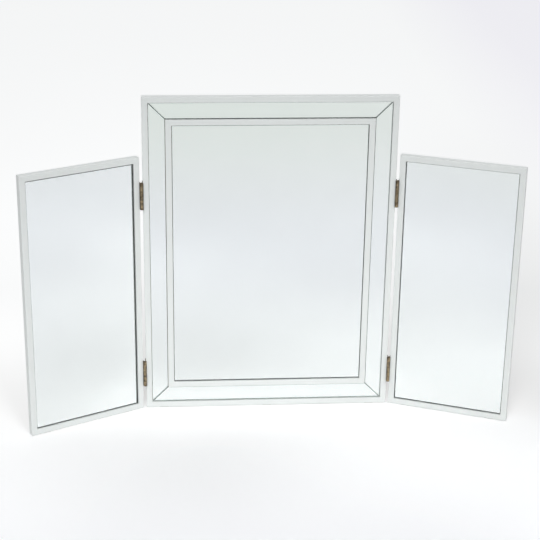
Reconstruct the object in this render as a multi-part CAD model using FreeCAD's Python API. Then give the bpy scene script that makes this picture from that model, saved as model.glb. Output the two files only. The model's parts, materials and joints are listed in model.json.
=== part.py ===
import FreeCAD
import Part

import math
import os

from FreeCAD import Rotation, Vector

# Trifold vanity mirror, in millimetres.
#
# A tall centre panel stands between two lower wings of half its width.  Every
# panel is a painted frame of four mitred rails around a backboard that carries
# the glass.  The centre panel has a border of four mitred mirror strips, then a
# narrow painted bead, then the main mirror.  Each wing holds one plain mirror.
# Two butt hinges a side, with their knuckles in front of the panels, let the
# wings swing from flat to closed over the centre mirror.
#
# Row frame: +Z up, +X to the right of someone facing the mirrors, which look
# towards -Y.  The origin is under the middle of the centre panel, on the
# surface that the felt pads stand on, at half the depth of the frame.
#
# Panel frame, in which every panel is built: X across from the panel's middle,
# Y backwards from the front face of the frame, Z up from its bottom edge.

# ---------------------------------------------------------------- panel sizes
CENTRE_WIDTH = 452.0
CENTRE_HEIGHT = 600.0
WING_HEIGHT = 492.0
CLOSING_CLEARANCE = 1.0        # each closed wing stops this far short of the middle
WING_WIDTH = CENTRE_WIDTH / 2 - CLOSING_CLEARANCE
LEFT_WING_ANGLE = 27.1         # degrees forward of flat, as the mirror stands
RIGHT_WING_ANGLE = 22.3

# ---------------------------------------------------------------- frame rails
FRAME_DEPTH = 13.0
RAIL_WIDTH = 11.0
REBATE_WIDTH = 4.0             # how far the backboard laps behind the rail
OUTER_EASE = 1.2               # rounding of the long outer edges
INNER_EASE = 0.6               # rounding of the sight edge

# ---------------------------------------------------------------- glass
GLASS_RECESS = 2.0             # front of the frame to the front of the glass
GLASS_THICKNESS = 3.0
GLASS_CLEARANCE = 0.5          # between a pane and whatever stands beside it
GLASS_ARRIS = 0.4              # ground chamfer around the front of each pane
BORDER_WIDTH = 30.0            # pocket of the mirror strips, rail to bead
MITRE_CLEARANCE = 0.35         # from a strip's mitred end to the mitre line

# ---------------------------------------------------------------- inner bead
BEAD_WIDTH = 11.0
BEAD_EASE = 1.0

# ---------------------------------------------------------------- foam tape
TAPE_THICKNESS = 0.8
TAPE_WIDTH = 12.0
TAPE_END_MARGIN = 25.0         # from the end of a run of tape to the pane's edge
CENTRE_TAPE_RUNS = 4
WING_TAPE_RUNS = 2

# ---------------------------------------------------------------- backboard
BOARD_THICKNESS = 4.0
BOARD_CLEARANCE = 0.4          # between the board's edge and the rebate wall

# Depths behind the frame's front face, from the sizes above.
GLASS_BACK = GLASS_RECESS + GLASS_THICKNESS
BOARD_FRONT = GLASS_BACK + TAPE_THICKNESS
BOARD_BACK = BOARD_FRONT + BOARD_THICKNESS

# ---------------------------------------------------------------- steel tabs
TAB_THICKNESS = 0.5
TAB_WIDTH = 9.0
TAB_BITE = 4.0                 # how far a tab is pressed into the rail
TAB_REACH = 6.0                # how far it stands out over the board
TAB_END_MARGIN = 60.0          # from a rail's end to its first tab
CENTRE_TABS_ACROSS = 3
CENTRE_TABS_UP = 4
WING_TABS_ACROSS = 2
WING_TABS_UP = 3

# ---------------------------------------------------------------- corner wedges
WEDGE_LEG = 4.2
WEDGE_THICKNESS = 0.6
WEDGE_HEIGHT = 7.0
WEDGE_INSET = 1.6              # from the frame's outer sides to the wedge's corner

# ---------------------------------------------------------------- butt hinges
HINGE_HEIGHT = 50.0
HINGE_INSET = 72.0             # wing's top or bottom edge to the hinge's middle
KNUCKLE_COUNT = 5
KNUCKLE_RADIUS = 3.2
KNUCKLE_CLEARANCE = 0.2        # between neighbouring knuckles, along the pin
BARREL_CLEARANCE = 0.3         # between the barrel and the frames' front faces
LEAF_THICKNESS = 1.25
LEAF_REACH = 10.5              # the leaf's width over the edge of the frame
LEAF_GAP = 1.0                 # between the two leaves when the wing lies flat
LEAF_CORNER = 0.8
PIN_RADIUS = 1.5
PIN_RUNNING_CLEARANCE = 0.05   # radial, in the moving leaf's knuckles
PIN_HEAD_RADIUS = 2.2
PIN_HEAD_HEIGHT = 0.9

PANEL_GAP = 2 * LEAF_THICKNESS + LEAF_GAP
AXIS_OFFSET = KNUCKLE_RADIUS + BARREL_CLEARANCE

# ---------------------------------------------------------------- hinge screws
HINGE_SCREWS_PER_LEAF = 3
HINGE_SCREW_LENGTH = 6.8
HINGE_SCREW_RADIUS = 1.2
HINGE_SCREW_HEAD_RADIUS = 2.3
HINGE_SCREW_END_MARGIN = 7.0   # leaf's end to its first screw
HINGE_SCREW_STAGGER = 1.2      # the middle screw sits back, the outer ones forward

# ---------------------------------------------------------------- bead screws
BEAD_SCREW_LENGTH = 8.2
BEAD_SCREW_RADIUS = 1.4
BEAD_SCREW_HEAD_RADIUS = 2.8
BEAD_SCREW_END_MARGIN = 45.0   # bead's corner to its first screw
BEAD_SCREWS_ACROSS = 3
BEAD_SCREWS_UP = 4

SCREW_TIP_LENGTH = 1.2
RECESS_DEPTH_SHARE = 0.75      # of the countersunk head's height
RECESS_SPAN_SHARE = 0.5        # of the head's diameter
RECESS_WIDTH_SHARE = 0.16

# ---------------------------------------------------------------- felt pads
PAD_THICKNESS = 1.0
PAD_LENGTH = 22.0
PAD_WIDTH = 9.0
PAD_END_MARGIN = 32.0          # panel's side to the middle of its first pad

EDGE_TOLERANCE = 1e-4


# ================================================================ shape helpers
def box(x_range, y_range, z_range):
    """An upright box between two values on each axis."""
    size = [high - low for low, high in (x_range, y_range, z_range)]
    return Part.makeBox(*size, Vector(x_range[0], y_range[0], z_range[0]))


def upright_plate(outline, y_front, y_back):
    """A plate in the XZ plane, with that outline of (x, z) points."""
    corners = [Vector(x, y_front, z) for x, z in outline]
    face = Part.Face(Part.makePolygon(corners + corners[:1]))
    return face.extrude(Vector(0, y_back - y_front, 0))


def rectangle(width, height, inset=0.0):
    """(x_low, x_high, z_low, z_high) of a panel's outline, taken in by inset."""
    return -width / 2 + inset, width / 2 - inset, inset, height - inset


def rectangle_box(bounds, y_range):
    return box(bounds[:2], y_range, bounds[2:])


def even_steps(low, high, count):
    """count places spread evenly from low to high, or the middle for one."""
    if count == 1:
        return [(low + high) / 2]
    return [low + (high - low) * i / (count - 1) for i in range(count)]


def edges_where(shape, test):
    """The straight edges whose two ends both pass the test."""
    found = []
    for edge in shape.Edges:
        ends = [vertex.Point for vertex in edge.Vertexes]
        if len(ends) == 2 and all(test(point) for point in ends):
            found.append(edge)
    return found


def near(a, b):
    return abs(a - b) < EDGE_TOLERANCE


def on_outline(point, bounds):
    """True for a point on the sides of a rectangle in the XZ plane."""
    x_low, x_high, z_low, z_high = bounds
    inside = x_low - EDGE_TOLERANCE < point.x < x_high + EDGE_TOLERANCE
    inside = inside and z_low - EDGE_TOLERANCE < point.z < z_high + EDGE_TOLERANCE
    on_side = near(point.x, x_low) or near(point.x, x_high)
    return inside and (on_side or near(point.z, z_low) or near(point.z, z_high))


def mitre_quarters(ring, bounds, reach):
    """Cuts a rectangular ring into top, bottom, left and right at its mitres.

    reach is how far each cutter runs inwards from the outline, past the ring.
    """
    x_low, x_high, z_low, z_high = bounds
    margin = reach
    out_low, out_high = x_low - margin, x_high + margin
    down, up = z_low - margin, z_high + margin
    in_low, in_high = x_low + reach, x_high - reach
    foot, head = z_low + reach, z_high - reach
    outlines = {
        "top": [(out_low, up), (out_high, up), (in_high, head), (in_low, head)],
        "bottom": [(out_low, down), (out_high, down), (in_high, foot), (in_low, foot)],
        "left": [(out_low, down), (out_low, up), (in_low, head), (in_low, foot)],
        "right": [(out_high, down), (out_high, up), (in_high, head), (in_high, foot)],
    }
    y_front = ring.BoundBox.YMin - margin
    y_back = ring.BoundBox.YMax + margin
    return {
        side: ring.common(upright_plate(outline, y_front, y_back))
        for side, outline in outlines.items()
    }


def group(solids):
    return Part.makeCompound(solids)


# ================================================================ screws
def screw_blank(head_radius, shank_radius, length):
    """A countersunk screw with no recess: head's face at z = 0, tip at -length."""
    head_height = head_radius - shank_radius
    profile = [
        (0, 0),
        (head_radius, 0),
        (shank_radius, -head_height),
        (shank_radius, -length + SCREW_TIP_LENGTH),
        (0, -length),
    ]
    corners = [Vector(r, 0, z) for r, z in profile]
    face = Part.Face(Part.makePolygon(corners + corners[:1]))
    return face.revolve(Vector(0, 0, 0), Vector(0, 0, 1), 360)


def cross_recess(head_radius, shank_radius):
    """The cross that a screwdriver fits, sunk from z = 0."""
    depth = RECESS_DEPTH_SHARE * (head_radius - shank_radius)
    half_span = RECESS_SPAN_SHARE * head_radius
    half_width = RECESS_WIDTH_SHARE * head_radius
    bar = box((-half_span, half_span), (-half_width, half_width), (-depth, depth))
    return bar.fuse(bar.rotated(Vector(0, 0, 0), Vector(0, 0, 1), 90))


def screw_pair(head_radius, shank_radius, length, place, outward):
    """(the screw, the hole it fills), with its head at place facing outward."""
    blank = screw_blank(head_radius, shank_radius, length)
    screw = blank.cut(cross_recess(head_radius, shank_radius))
    turn = Rotation(Vector(0, 0, 1), outward)
    placement = FreeCAD.Placement(place, turn)
    for shape in (screw, blank):
        shape.Placement = placement
    return screw, blank


# ================================================================ panel pieces
def frame_rails(width, height):
    """The four rebated rails of a panel, not yet slotted or drilled."""
    outer = rectangle(width, height)
    sight = rectangle(width, height, RAIL_WIDTH)
    rebate = rectangle(width, height, RAIL_WIDTH - REBATE_WIDTH)
    ring = rectangle_box(outer, (0, FRAME_DEPTH))
    ring = ring.cut(rectangle_box(sight, (-FRAME_DEPTH, 2 * FRAME_DEPTH)))
    ring = ring.cut(rectangle_box(rebate, (BOARD_FRONT, 2 * FRAME_DEPTH)))
    outside = edges_where(ring, lambda point: on_outline(point, outer))
    ring = ring.makeFillet(OUTER_EASE, outside)
    sight_edges = edges_where(
        ring, lambda point: near(point.y, 0) and on_outline(point, sight)
    )
    ring = ring.makeFillet(INNER_EASE, sight_edges)
    return mitre_quarters(ring, outer, 2 * RAIL_WIDTH)


def bead_rails():
    """The four mitred lengths of bead, flat on the board and flush in front."""
    inset = RAIL_WIDTH + BORDER_WIDTH
    outer = rectangle(CENTRE_WIDTH, CENTRE_HEIGHT, inset)
    inner = rectangle(CENTRE_WIDTH, CENTRE_HEIGHT, inset + BEAD_WIDTH)
    ring = rectangle_box(outer, (0, BOARD_FRONT))
    ring = ring.cut(rectangle_box(inner, (-BOARD_FRONT, 2 * BOARD_FRONT)))
    front_edges = edges_where(ring, lambda point: near(point.y, 0))
    ring = ring.makeFillet(BEAD_EASE, front_edges)
    return mitre_quarters(ring, outer, 2 * BEAD_WIDTH)


def glass_plate(outline):
    """A pane of that outline, with a ground arris around its front face."""
    plate = upright_plate(outline, GLASS_RECESS, GLASS_BACK)
    front = edges_where(plate, lambda point: near(point.y, GLASS_RECESS))
    return plate.makeChamfer(GLASS_ARRIS, front)


def glass_pane(bounds):
    """A rectangular pane that fills those bounds, less its clearance."""
    x_low, x_high, z_low, z_high = bounds
    x_low, x_high = x_low + GLASS_CLEARANCE, x_high - GLASS_CLEARANCE
    z_low, z_high = z_low + GLASS_CLEARANCE, z_high - GLASS_CLEARANCE
    outline = [(x_low, z_low), (x_high, z_low), (x_high, z_high), (x_low, z_high)]
    return glass_plate(outline)


def border_strips():
    """The four mitred mirror strips between the frame and the bead."""
    near_rail = RAIL_WIDTH + GLASS_CLEARANCE
    near_bead = RAIL_WIDTH + BORDER_WIDTH - GLASS_CLEARANCE
    outer = rectangle(CENTRE_WIDTH, CENTRE_HEIGHT, near_rail)
    inner = rectangle(CENTRE_WIDTH, CENTRE_HEIGHT, near_bead)
    back_off = MITRE_CLEARANCE * math.sqrt(2)

    def across(z_outer, z_inner):
        return [
            (outer[0] + back_off, z_outer),
            (outer[1] - back_off, z_outer),
            (inner[1] - back_off, z_inner),
            (inner[0] + back_off, z_inner),
        ]

    def upward(x_outer, x_inner):
        return [
            (x_outer, outer[2] + back_off),
            (x_outer, outer[3] - back_off),
            (x_inner, inner[3] - back_off),
            (x_inner, inner[2] + back_off),
        ]

    return {
        "bottom": glass_plate(across(outer[2], inner[2])),
        "top": glass_plate(across(outer[3], inner[3])),
        "left": glass_plate(upward(outer[0], inner[0])),
        "right": glass_plate(upward(outer[1], inner[1])),
    }


def upright_tapes(bounds, runs):
    """Upright runs of foam tape behind a rectangular pane."""
    x_low, x_high, z_low, z_high = bounds
    places = even_steps(x_low + TAPE_END_MARGIN, x_high - TAPE_END_MARGIN, runs)
    z_range = (z_low + TAPE_END_MARGIN, z_high - TAPE_END_MARGIN)
    half = TAPE_WIDTH / 2
    return [box((x - half, x + half), (GLASS_BACK, BOARD_FRONT), z_range) for x in places]


def border_tapes():
    """One run of foam tape along the middle of each mirror strip."""
    middle = RAIL_WIDTH + BORDER_WIDTH / 2
    x_low, x_high, z_low, z_high = rectangle(CENTRE_WIDTH, CENTRE_HEIGHT, middle)
    half = TAPE_WIDTH / 2
    along_x = (x_low + TAPE_END_MARGIN, x_high - TAPE_END_MARGIN)
    along_z = (z_low + TAPE_END_MARGIN, z_high - TAPE_END_MARGIN)
    depth = (GLASS_BACK, BOARD_FRONT)
    tapes = [box(along_x, depth, (z - half, z + half)) for z in (z_low, z_high)]
    tapes += [box((x - half, x + half), depth, along_z) for x in (x_low, x_high)]
    return tapes


def backboard(width, height):
    inset = RAIL_WIDTH - REBATE_WIDTH + BOARD_CLEARANCE
    return rectangle_box(rectangle(width, height, inset), (BOARD_FRONT, BOARD_BACK))


def retaining_tab():
    """A pointed steel tab in the XZ plane: its point is up, in the rail."""
    half = TAB_WIDTH / 2
    shoulder = TAB_BITE / 2
    outline = [
        (-half, -TAB_REACH),
        (half, -TAB_REACH),
        (half, shoulder),
        (0, TAB_BITE),
        (-half, shoulder),
    ]
    return upright_plate(outline, BOARD_BACK, BOARD_BACK + TAB_THICKNESS)


def retaining_tabs(width, height, across, up):
    """{side: tabs}, each tab's middle line on the wall of that side's rebate."""
    x_low, x_high, z_low, z_high = rectangle(width, height, RAIL_WIDTH - REBATE_WIDTH)
    xs = even_steps(x_low + TAB_END_MARGIN, x_high - TAB_END_MARGIN, across)
    zs = even_steps(z_low + TAB_END_MARGIN, z_high - TAB_END_MARGIN, up)
    places = {
        "top": [((x, z_high), 0) for x in xs],
        "bottom": [((x, z_low), 180) for x in xs],
        "left": [((x_low, z), -90) for z in zs],
        "right": [((x_high, z), 90) for z in zs],
    }
    tabs = {}
    for side, spots in places.items():
        tabs[side] = []
        for (x, z), turn in spots:
            tab = retaining_tab()
            tab.rotate(Vector(0, 0, 0), Vector(0, 1, 0), turn)
            tab.translate(Vector(x, 0, z))
            tabs[side].append(tab)
    return tabs


def corner_wedges(width, height):
    """A V-shaped steel wedge across each mitre, driven in from the back."""
    outline = [
        (0, 0),
        (WEDGE_LEG, 0),
        (WEDGE_LEG, WEDGE_THICKNESS),
        (WEDGE_THICKNESS, WEDGE_THICKNESS),
        (WEDGE_THICKNESS, WEDGE_LEG),
        (0, WEDGE_LEG),
    ]
    x_low, x_high, z_low, z_high = rectangle(width, height, WEDGE_INSET)
    corners = [
        (x_low, z_low, 1, 1),
        (x_high, z_low, -1, 1),
        (x_high, z_high, -1, -1),
        (x_low, z_high, 1, -1),
    ]
    wedges = []
    for x, z, x_way, z_way in corners:
        points = [(x + x_way * u, z + z_way * w) for u, w in outline]
        wedges.append(upright_plate(points, FRAME_DEPTH - WEDGE_HEIGHT, FRAME_DEPTH))
    return wedges


def felt_pads(places):
    """Round-ended felt pads under a bottom rail, at those values of x."""
    radius = PAD_WIDTH / 2
    half_run = PAD_LENGTH / 2 - radius
    y_middle = FRAME_DEPTH / 2
    pads = []
    for x in places:
        base = Vector(x, y_middle, -PAD_THICKNESS)
        bar = box(
            (x - half_run, x + half_run),
            (y_middle - radius, y_middle + radius),
            (-PAD_THICKNESS, 0),
        )
        ends = [
            Part.makeCylinder(radius, PAD_THICKNESS, base + Vector(offset, 0, 0))
            for offset in (-half_run, half_run)
        ]
        pads.append(bar.multiFuse(ends).removeSplitter())
    return pads


def pad_places(width, count):
    half = width / 2 - PAD_END_MARGIN
    return even_steps(-half, half, count)


# ================================================================ butt hinges
# A hinge is built with its axis on the Z axis through the origin, its middle at
# z = 0, the panels' front faces at y = AXIS_OFFSET and their edges at
# x = -PANEL_GAP / 2 and x = PANEL_GAP / 2.
def knuckle_spans():
    """[(z_low, z_high)] of the knuckles, from the lowest up."""
    pitch = HINGE_HEIGHT / KNUCKLE_COUNT
    half_gap = KNUCKLE_CLEARANCE / 2
    spans = []
    for i in range(KNUCKLE_COUNT):
        low = -HINGE_HEIGHT / 2 + i * pitch
        spans.append((low + (half_gap if i else 0), low + pitch - half_gap))
    last_low = spans[-1][0]
    spans[-1] = (last_low, HINGE_HEIGHT / 2)
    return spans


def knuckle(x_inner, x_outer, bore_radius, z_low, z_high):
    """A bored knuckle and the web that runs back from it to the leaf."""

    def on_barrel(x):
        return Vector(x, math.sqrt(KNUCKLE_RADIUS**2 - x**2), z_low)

    foot_inner = Vector(x_inner, AXIS_OFFSET, z_low)
    foot_outer = Vector(x_outer, AXIS_OFFSET, z_low)
    front = Vector(0, -KNUCKLE_RADIUS, z_low)
    sides = [
        Part.makeLine(foot_inner, on_barrel(x_inner)),
        Part.Arc(on_barrel(x_inner), front, on_barrel(x_outer)).toShape(),
        Part.makeLine(on_barrel(x_outer), foot_outer),
        Part.makeLine(foot_outer, foot_inner),
    ]
    height = z_high - z_low
    solid = Part.Face(Part.Wire(sides)).extrude(Vector(0, 0, height))
    return solid.cut(Part.makeCylinder(bore_radius, height, Vector(0, 0, z_low)))


def hinge_leaf(side, spans, bore_radius):
    """A leaf on the panel at that side of the axis, -1 or 1, with its knuckles."""
    x_outer = PANEL_GAP / 2
    x_inner = x_outer - LEAF_THICKNESS
    y_back = AXIS_OFFSET + LEAF_REACH
    half_height = HINGE_HEIGHT / 2
    leaf = box((x_inner, x_outer), (AXIS_OFFSET, y_back), (-half_height, half_height))
    for z_end in (-half_height, half_height):
        corner = edges_where(
            leaf, lambda point: near(point.y, y_back) and near(point.z, z_end)
        )
        leaf = leaf.makeFillet(LEAF_CORNER, corner)
    knuckles = [knuckle(x_inner, x_outer, bore_radius, *span) for span in spans]
    leaf = leaf.multiFuse(knuckles).removeSplitter()
    return leaf if side > 0 else leaf.mirror(Vector(0, 0, 0), Vector(1, 0, 0))


def hinge_pin():
    """A riveted pin, with a domed head above and below the barrel."""
    half_height = HINGE_HEIGHT / 2
    pin = Part.makeCylinder(PIN_RADIUS, HINGE_HEIGHT, Vector(0, 0, -half_height))
    dome_radius = (PIN_HEAD_RADIUS**2 + PIN_HEAD_HEIGHT**2) / (2 * PIN_HEAD_HEIGHT)
    sunk = dome_radius - PIN_HEAD_HEIGHT
    keep = Part.makeCylinder(PIN_HEAD_RADIUS, PIN_HEAD_HEIGHT, Vector(0, 0, half_height))
    head = Part.makeSphere(dome_radius, Vector(0, 0, half_height - sunk)).common(keep)
    foot = head.mirror(Vector(0, 0, 0), Vector(0, 0, 1))
    return pin.multiFuse([head, foot])


def hinge_screws(side):
    """[(screw, hole)] of the leaf at that side of the axis."""
    face = side * (PANEL_GAP / 2 - LEAF_THICKNESS)
    end = HINGE_HEIGHT / 2 - HINGE_SCREW_END_MARGIN
    pairs = []
    for i, z in enumerate(even_steps(-end, end, HINGE_SCREWS_PER_LEAF)):
        stagger = HINGE_SCREW_STAGGER if i % 2 else -HINGE_SCREW_STAGGER
        y = AXIS_OFFSET + LEAF_REACH / 2 + stagger
        pairs.append(
            screw_pair(
                HINGE_SCREW_HEAD_RADIUS,
                HINGE_SCREW_RADIUS,
                HINGE_SCREW_LENGTH,
                Vector(face, y, z),
                Vector(-side, 0, 0),
            )
        )
    return pairs


def build_hinge(side, z_middle):
    """The pieces of one hinge on the centre panel's left, -1, or right, 1.

    They come back in the centre's panel frame, with the wing lying flat.
    """
    spans = knuckle_spans()
    fixed = hinge_leaf(-side, spans[0::2], PIN_RADIUS)
    moving = hinge_leaf(side, spans[1::2], PIN_RADIUS + PIN_RUNNING_CLEARANCE)
    fixed_screws = hinge_screws(-side)
    moving_screws = hinge_screws(side)
    for _, hole in fixed_screws:
        fixed = fixed.cut(hole)
    for _, hole in moving_screws:
        moving = moving.cut(hole)
    pieces = {"fixed_leaf": fixed, "moving_leaf": moving, "pin": hinge_pin()}
    axis_place = hinge_axis(side)
    shift = Vector(axis_place.x, axis_place.y, z_middle)
    for shape in pieces.values():
        shape.translate(shift)
    for name, pairs in (("fixed", fixed_screws), ("moving", moving_screws)):
        for pair in pairs:
            for shape in pair:
                shape.translate(shift)
        pieces[name + "_screws"] = [screw for screw, _ in pairs]
        pieces[name + "_holes"] = [hole for _, hole in pairs]
    return pieces


def hinge_axis(side):
    """A point on the hinge axis, in the centre's panel frame."""
    return Vector(side * (CENTRE_WIDTH + PANEL_GAP) / 2, -AXIS_OFFSET, 0)


def wing_middle(side):
    """The x of a flat wing's middle, in the centre's panel frame."""
    return side * (CENTRE_WIDTH / 2 + PANEL_GAP + WING_WIDTH / 2)


# ================================================================ whole panels
SIDE_NAMES = {-1: "left", 1: "right"}
REST_ANGLES = {-1: LEFT_WING_ANGLE, 1: RIGHT_WING_ANGLE}
HINGE_HEIGHTS = {"lower": HINGE_INSET, "upper": WING_HEIGHT - HINGE_INSET}


def cut_all(shape, tools):
    return shape.cut(tools) if tools else shape


def panel_frame(width, height, across, up, drilled):
    """Rails, tabs, wedges and backboard of a panel.

    drilled is {side: holes} for the hinge screws.
    """
    rails = frame_rails(width, height)
    tabs = retaining_tabs(width, height, across, up)
    wedges = corner_wedges(width, height)
    for side in rails:
        tools = wedges + tabs[side] + drilled.get(side, [])
        rails[side] = cut_all(rails[side], tools)
    all_tabs = [tab for side in tabs for tab in tabs[side]]
    return rails, group(all_tabs), group(wedges), backboard(width, height)


def bead_screw_pairs():
    """Screws from behind the backboard into the bead."""
    middle = RAIL_WIDTH + BORDER_WIDTH + BEAD_WIDTH / 2
    x_low, x_high, z_low, z_high = rectangle(CENTRE_WIDTH, CENTRE_HEIGHT, middle)
    margin = BEAD_SCREW_END_MARGIN
    xs = even_steps(x_low + margin, x_high - margin, BEAD_SCREWS_ACROSS)
    zs = even_steps(z_low + margin, z_high - margin, BEAD_SCREWS_UP)
    places = {
        "bottom": [(x, z_low) for x in xs],
        "top": [(x, z_high) for x in xs],
        "left": [(x_low, z) for z in zs],
        "right": [(x_high, z) for z in zs],
    }
    return {
        side: [
            screw_pair(
                BEAD_SCREW_HEAD_RADIUS,
                BEAD_SCREW_RADIUS,
                BEAD_SCREW_LENGTH,
                Vector(x, BOARD_BACK, z),
                Vector(0, 1, 0),
            )
            for x, z in spots
        ]
        for side, spots in places.items()
    }


def build_centre(hinges):
    """{node: shape} of the centre panel, in its panel frame."""
    drilled = {"left": [], "right": []}
    screws = []
    for (side, _), pieces in hinges.items():
        drilled[SIDE_NAMES[side]] += pieces["fixed_holes"]
        screws += pieces["fixed_screws"]
    rails, tabs, wedges, board = panel_frame(
        CENTRE_WIDTH, CENTRE_HEIGHT, CENTRE_TABS_ACROSS, CENTRE_TABS_UP, drilled
    )
    beads = bead_rails()
    bead_screws = bead_screw_pairs()
    for side, pairs in bead_screws.items():
        holes = [hole for _, hole in pairs]
        beads[side] = beads[side].cut(holes)
        board = board.cut(holes)
    strips = border_strips()
    pane_inset = RAIL_WIDTH + BORDER_WIDTH + BEAD_WIDTH
    pane_bounds = rectangle(CENTRE_WIDTH, CENTRE_HEIGHT, pane_inset)
    tapes = border_tapes() + upright_tapes(pane_bounds, CENTRE_TAPE_RUNS)
    nodes = {
        "centre_top_rail": rails["top"],
        "centre_bottom_rail": rails["bottom"],
        "centre_left_stile": rails["left"],
        "centre_right_stile": rails["right"],
        "centre_corner_wedges": wedges,
        "centre_mirror": glass_pane(pane_bounds),
        "centre_mounting_tape": group(tapes),
        "centre_backboard": board,
        "centre_backboard_tabs": tabs,
        "bead_screws": group([s for p in bead_screws.values() for s, _ in p]),
        "centre_hinge_screws": group(screws),
        "centre_felt_pads": group(felt_pads(pad_places(CENTRE_WIDTH, 3))),
    }
    for side in ("top", "bottom", "left", "right"):
        nodes["inner_bead_" + side] = beads[side]
        nodes["border_mirror_" + side] = strips[side]
    for (side, level), pieces in hinges.items():
        prefix = f"{SIDE_NAMES[side]}_{level}_hinge_"
        nodes[prefix + "fixed_leaf"] = pieces["fixed_leaf"]
        nodes[prefix + "pin"] = pieces["pin"]
    return nodes


def build_wing(side, hinges):
    """{node: shape} of a wing that lies flat, in the centre's panel frame."""
    to_centre = Vector(wing_middle(side), 0, 0)
    own = {level: hinges[side, level] for level in HINGE_HEIGHTS}
    holes = []
    for pieces in own.values():
        holes += [hole.translated(-to_centre) for hole in pieces["moving_holes"]]
    inner_side = SIDE_NAMES[-side]
    rails, tabs, wedges, board = panel_frame(
        WING_WIDTH, WING_HEIGHT, WING_TABS_ACROSS, WING_TABS_UP, {inner_side: holes}
    )
    pane_bounds = rectangle(WING_WIDTH, WING_HEIGHT, RAIL_WIDTH)
    panel = {
        "top_rail": rails["top"],
        "bottom_rail": rails["bottom"],
        "hinge_stile": rails[inner_side],
        "outer_stile": rails[SIDE_NAMES[side]],
        "corner_wedges": wedges,
        "mirror": glass_pane(pane_bounds),
        "mounting_tape": group(upright_tapes(pane_bounds, WING_TAPE_RUNS)),
        "backboard": board,
        "backboard_tabs": tabs,
        "felt_pads": group(felt_pads(pad_places(WING_WIDTH, 2))),
    }
    for shape in panel.values():
        shape.translate(to_centre)
    for level, pieces in own.items():
        panel[level + "_hinge_leaf"] = pieces["moving_leaf"]
    screws = [screw for pieces in own.values() for screw in pieces["moving_screws"]]
    panel["hinge_screws"] = group(screws)
    return {f"{SIDE_NAMES[side]}_wing_{name}": shape for name, shape in panel.items()}


def swing_forward(shape, side):
    """Turns a flat wing's piece about its hinge axis to its rest angle."""
    shape.rotate(hinge_axis(side), Vector(0, 0, 1), -side * REST_ANGLES[side])


def main():
    hinges = {
        (side, level): build_hinge(side, z)
        for side in SIDE_NAMES
        for level, z in HINGE_HEIGHTS.items()
    }
    nodes = build_centre(hinges)
    for side in SIDE_NAMES:
        wing = build_wing(side, hinges)
        for shape in wing.values():
            swing_forward(shape, side)
        nodes.update(wing)
    to_row = Vector(0, -FRAME_DEPTH / 2, PAD_THICKNESS)
    os.makedirs("parts", exist_ok=True)
    for name, shape in nodes.items():
        shape.translate(to_row)
        shape.exportStep(f"parts/{name}.step")
    print(len(nodes), "nodes")


main()
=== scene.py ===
import json
import math

import bmesh
import bpy
from bpy.props import FloatProperty, FloatVectorProperty, IntProperty, PointerProperty
from mathutils import Matrix, Vector


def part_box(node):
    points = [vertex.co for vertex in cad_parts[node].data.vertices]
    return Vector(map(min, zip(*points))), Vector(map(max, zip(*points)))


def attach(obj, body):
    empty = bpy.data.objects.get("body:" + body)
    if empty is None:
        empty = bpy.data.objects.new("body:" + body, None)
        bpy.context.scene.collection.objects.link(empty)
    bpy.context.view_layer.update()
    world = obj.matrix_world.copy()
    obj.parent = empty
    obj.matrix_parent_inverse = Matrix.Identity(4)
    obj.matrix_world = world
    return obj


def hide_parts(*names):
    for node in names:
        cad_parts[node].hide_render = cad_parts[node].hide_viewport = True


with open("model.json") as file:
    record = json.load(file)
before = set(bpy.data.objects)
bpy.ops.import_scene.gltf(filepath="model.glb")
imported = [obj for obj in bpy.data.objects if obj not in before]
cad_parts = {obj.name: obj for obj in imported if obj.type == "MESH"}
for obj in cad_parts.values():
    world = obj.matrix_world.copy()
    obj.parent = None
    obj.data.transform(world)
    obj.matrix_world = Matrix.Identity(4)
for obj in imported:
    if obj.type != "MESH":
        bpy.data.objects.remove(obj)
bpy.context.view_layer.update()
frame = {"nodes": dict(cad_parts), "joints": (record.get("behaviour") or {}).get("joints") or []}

bl_info = {
    "name": "Trifold Vanity Mirror",
    "version": (1, 0, 0),
    "blender": (4, 5, 0),
    "location": "3D View > Sidebar > Mirror",
    "description": "Dresses a packed trifold vanity mirror in paint, glass, brass and felt",
    "category": "Object",
}

MM = 0.001
CENTRE = "centre"
WINGS = ("left_wing", "right_wing")
MEMBERS = {"rail": ("top", "bottom"), "stile": ("left", "right")}  # and where they stand
KNUCKLES = 5  # of each hinge
WELD = 1e-6  # metres within which points are one


# ---------------------------- panels
def spans(points):
    """(lowest corner, highest corner) of some points."""
    low = Vector(min(p[i] for p in points) for i in range(3))
    high = Vector(max(p[i] for p in points) for i in range(3))
    return low, high


def lay_flat(body):
    """The turn about its hinges that lays a wing flat beside the centre."""
    for joint in frame["joints"]:
        if joint["child"] == body:
            place = Matrix.Translation(joint["pos_m"])
            angle = math.radians(joint["range_deg"][0])
            turn = Matrix.Rotation(angle, 4, Vector(joint["axis"]))
            return place @ turn @ place.inverted()
    return Matrix.Identity(4)


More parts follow.
